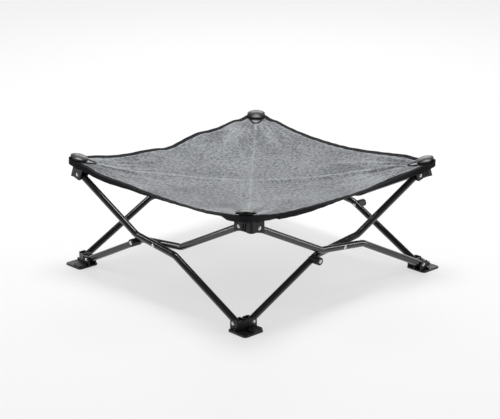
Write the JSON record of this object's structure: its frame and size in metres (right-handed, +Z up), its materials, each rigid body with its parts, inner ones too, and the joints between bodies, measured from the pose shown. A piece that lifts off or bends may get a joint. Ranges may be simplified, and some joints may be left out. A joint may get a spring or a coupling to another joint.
{
  "type": "folding raised pet bed",
  "caption": "Low raised pet bed: a woven sling held at its corners on a folding scissor frame of bent round tubes, with moulded hubs, caps and feet.",
  "frame": {"origin": "centre of the bed, on the floor", "axes": "+Z up; the four corners stand on the diagonals of X and Y, and the front corner is towards +X and -Y"},
  "size_m": [0.645, 0.645, 0.2807],
  "materials": {
    "tube": "satin black powder coat",
    "bush": "satin black powder coat",
    "rivet": "bright zinc plate",
    "moulding": "fine moulded texture",
    "cap": "semi-gloss moulded",
    "sling": "heathered woven mesh",
    "binding": "black woven tape"
  },
  "bodies": {
    "foot_front": {"foot_front": "moulding", "foot_rivets_front": "rivet"},
    "foot_right": {"foot_right": "moulding", "foot_rivets_right": "rivet"},
    "foot_back": {"foot_back": "moulding", "foot_rivets_back": "rivet"},
    "foot_left": {"foot_left": "moulding", "foot_rivets_left": "rivet"},
    "outer_tube_front_left": {"outer_tube_front_left": "tube", "middle_rivet_front_left": "rivet", "middle_washer_front_left": "moulding"},
    "inner_tube_front_left": {"inner_tube_front_left": "tube", "stop_bush_front_left": "bush", "stop_rivet_front_left": "rivet"},
    "outer_tube_front_right": {"outer_tube_front_right": "tube", "middle_rivet_front_right": "rivet", "middle_washer_front_right": "moulding"},
    "inner_tube_front_right": {"inner_tube_front_right": "tube", "stop_bush_front_right": "bush", "stop_rivet_front_right": "rivet"},
    "outer_tube_back_right": {"outer_tube_back_right": "tube", "middle_rivet_back_right": "rivet", "middle_washer_back_right": "moulding"},
    "inner_tube_back_right": {"inner_tube_back_right": "tube", "stop_bush_back_right": "bush", "stop_rivet_back_right": "rivet"},
    "outer_tube_back_left": {"outer_tube_back_left": "tube", "middle_rivet_back_left": "rivet", "middle_washer_back_left": "moulding"},
    "inner_tube_back_left": {"inner_tube_back_left": "tube", "stop_bush_back_left": "bush", "stop_rivet_back_left": "rivet"},
    "hub_front": {"hub_front": "moulding", "hub_rivets_front": "rivet", "cap_front": "cap", "cap_pin_front": "moulding"},
    "hub_right": {"hub_right": "moulding", "hub_rivets_right": "rivet", "cap_right": "cap", "cap_pin_right": "moulding"},
    "hub_back": {"hub_back": "moulding", "hub_rivets_back": "rivet", "cap_back": "cap", "cap_pin_back": "moulding"},
    "hub_left": {"hub_left": "moulding", "hub_rivets_left": "rivet", "cap_left": "cap", "cap_pin_left": "moulding"},
    "sling_front": {"sling_front": "sling", "binding_front": "binding"},
    "sling_right": {"sling_right": "sling", "binding_right": "binding"},
    "sling_back": {"sling_back": "sling", "binding_back": "binding"},
    "sling_left": {"sling_left": "sling", "binding_left": "binding"}
  },
  "joints": [
    {"name": "fold", "type": "hinge", "parent": "foot_front", "child": "outer_tube_front_left", "pos_m": [0.2715, -0.301, 0.0175], "axis": [0, 1, 0], "range_deg": [0, 58]},
    {"name": "scissor_front_left", "type": "hinge", "parent": "outer_tube_front_left", "child": "inner_tube_front_left", "pos_m": [0, -0.292, 0.1271], "axis": [0, 1, 0], "range_deg": [-116, 0]},
    {"name": "left_foot_pivot", "type": "hinge", "parent": "inner_tube_front_left", "child": "foot_left", "pos_m": [-0.2715, -0.283, 0.0175], "axis": [0, 1, 0], "range_deg": [0, 58]},
    {"name": "left_hub_pivot", "type": "hinge", "parent": "outer_tube_front_left", "child": "hub_left", "pos_m": [-0.2715, -0.301, 0.2367], "axis": [0, 1, 0], "range_deg": [-58, 0]},
    {"name": "front_hub_pivot", "type": "hinge", "parent": "inner_tube_front_left", "child": "hub_front", "pos_m": [0.2715, -0.283, 0.2367], "axis": [0, 1, 0], "range_deg": [0, 58]},
    {"name": "front_foot_pivot", "type": "hinge", "parent": "foot_front", "child": "inner_tube_front_right", "pos_m": [0.283, -0.2715, 0.0175], "axis": [-1, 0, 0], "range_deg": [-58, 0]},
    {"name": "scissor_front_right", "type": "hinge", "parent": "inner_tube_front_right", "child": "outer_tube_front_right", "pos_m": [0.292, 0, 0.1271], "axis": [-1, 0, 0], "range_deg": [0, 116]},
    {"name": "right_foot_pivot", "type": "hinge", "parent": "outer_tube_front_right", "child": "foot_right", "pos_m": [0.301, 0.2715, 0.0175], "axis": [-1, 0, 0], "range_deg": [-58, 0]},
    {"name": "right_hub_pivot", "type": "hinge", "parent": "inner_tube_front_right", "child": "hub_right", "pos_m": [0.283, 0.2715, 0.2367], "axis": [-1, 0, 0], "range_deg": [0, 58]},
    {"name": "left_foot_second_pivot", "type": "hinge", "parent": "foot_left", "child": "outer_tube_back_left", "pos_m": [-0.301, -0.2715, 0.0175], "axis": [1, 0, 0], "range_deg": [0, 58]},
    {"name": "scissor_back_left", "type": "hinge", "parent": "outer_tube_back_left", "child": "inner_tube_back_left", "pos_m": [-0.292, 0, 0.1271], "axis": [1, 0, 0], "range_deg": [-116, 0]},
    {"name": "back_foot_pivot", "type": "hinge", "parent": "inner_tube_back_left", "child": "foot_back", "pos_m": [-0.283, 0.2715, 0.0175], "axis": [1, 0, 0], "range_deg": [0, 58]},
    {"name": "back_hub_pivot", "type": "hinge", "parent": "outer_tube_back_left", "child": "hub_back", "pos_m": [-0.301, 0.2715, 0.2367], "axis": [1, 0, 0], "range_deg": [-58, 0]},
    {"name": "right_foot_second_pivot", "type": "hinge", "parent": "foot_right", "child": "inner_tube_back_right", "pos_m": [0.2715, 0.283, 0.0175], "axis": [0, -1, 0], "range_deg": [-58, 0]},
    {"name": "scissor_back_right", "type": "hinge", "parent": "inner_tube_back_right", "child": "outer_tube_back_right", "pos_m": [0, 0.292, 0.1271], "axis": [0, -1, 0], "range_deg": [0, 116]},
    {"name": "sling_hang_front", "type": "hinge", "parent": "hub_front", "child": "sling_front", "pos_m": [0.27079, -0.27079, 0.258], "axis": [-0.7071, -0.7071, 0], "range_deg": [0, 73.16], "deforming": ["sling_front", "binding_front"]},
    {"name": "sling_hang_right", "type": "hinge", "parent": "hub_right", "child": "sling_right", "pos_m": [0.27079, 0.27079, 0.258], "axis": [0.7071, -0.7071, 0], "range_deg": [0, 73.16], "deforming": ["sling_right", "binding_right"]},
    {"name": "sling_hang_back", "type": "hinge", "parent": "hub_back", "child": "sling_back", "pos_m": [-0.27079, 0.27079, 0.258], "axis": [0.7071, 0.7071, 0], "range_deg": [0, 73.16], "deforming": ["sling_back", "binding_back"]},
    {"name": "sling_hang_left", "type": "hinge", "parent": "hub_left", "child": "sling_left", "pos_m": [-0.27079, -0.27079, 0.258], "axis": [-0.7071, 0.7071, 0], "range_deg": [0, 73.16], "deforming": ["sling_left", "binding_left"]}
  ],
  "couplings": [
    {"joint": "scissor_front_left", "follows": "fold", "ratio": -2},
    {"joint": "left_foot_pivot", "follows": "fold", "ratio": 1},
    {"joint": "left_hub_pivot", "follows": "fold", "ratio": -1},
    {"joint": "front_hub_pivot", "follows": "fold", "ratio": 1},
    {"joint": "front_foot_pivot", "follows": "fold", "ratio": -1},
    {"joint": "scissor_front_right", "follows": "fold", "ratio": 2},
    {"joint": "right_foot_pivot", "follows": "fold", "ratio": -1},
    {"joint": "right_hub_pivot", "follows": "fold", "ratio": 1},
    {"joint": "left_foot_second_pivot", "follows": "fold", "ratio": 1},
    {"joint": "scissor_back_left", "follows": "fold", "ratio": -2},
    {"joint": "back_foot_pivot", "follows": "fold", "ratio": 1},
    {"joint": "back_hub_pivot", "follows": "fold", "ratio": -1},
    {"joint": "right_foot_second_pivot", "follows": "fold", "ratio": -1},
    {"joint": "scissor_back_right", "follows": "fold", "ratio": 2},
    {"joint": "sling_hang_front", "follows": "fold", "ratio": 1.2614},
    {"joint": "sling_hang_right", "follows": "fold", "ratio": 1.2614},
    {"joint": "sling_hang_back", "follows": "fold", "ratio": 1.2614},
    {"joint": "sling_hang_left", "follows": "fold", "ratio": 1.2614}
  ]
}
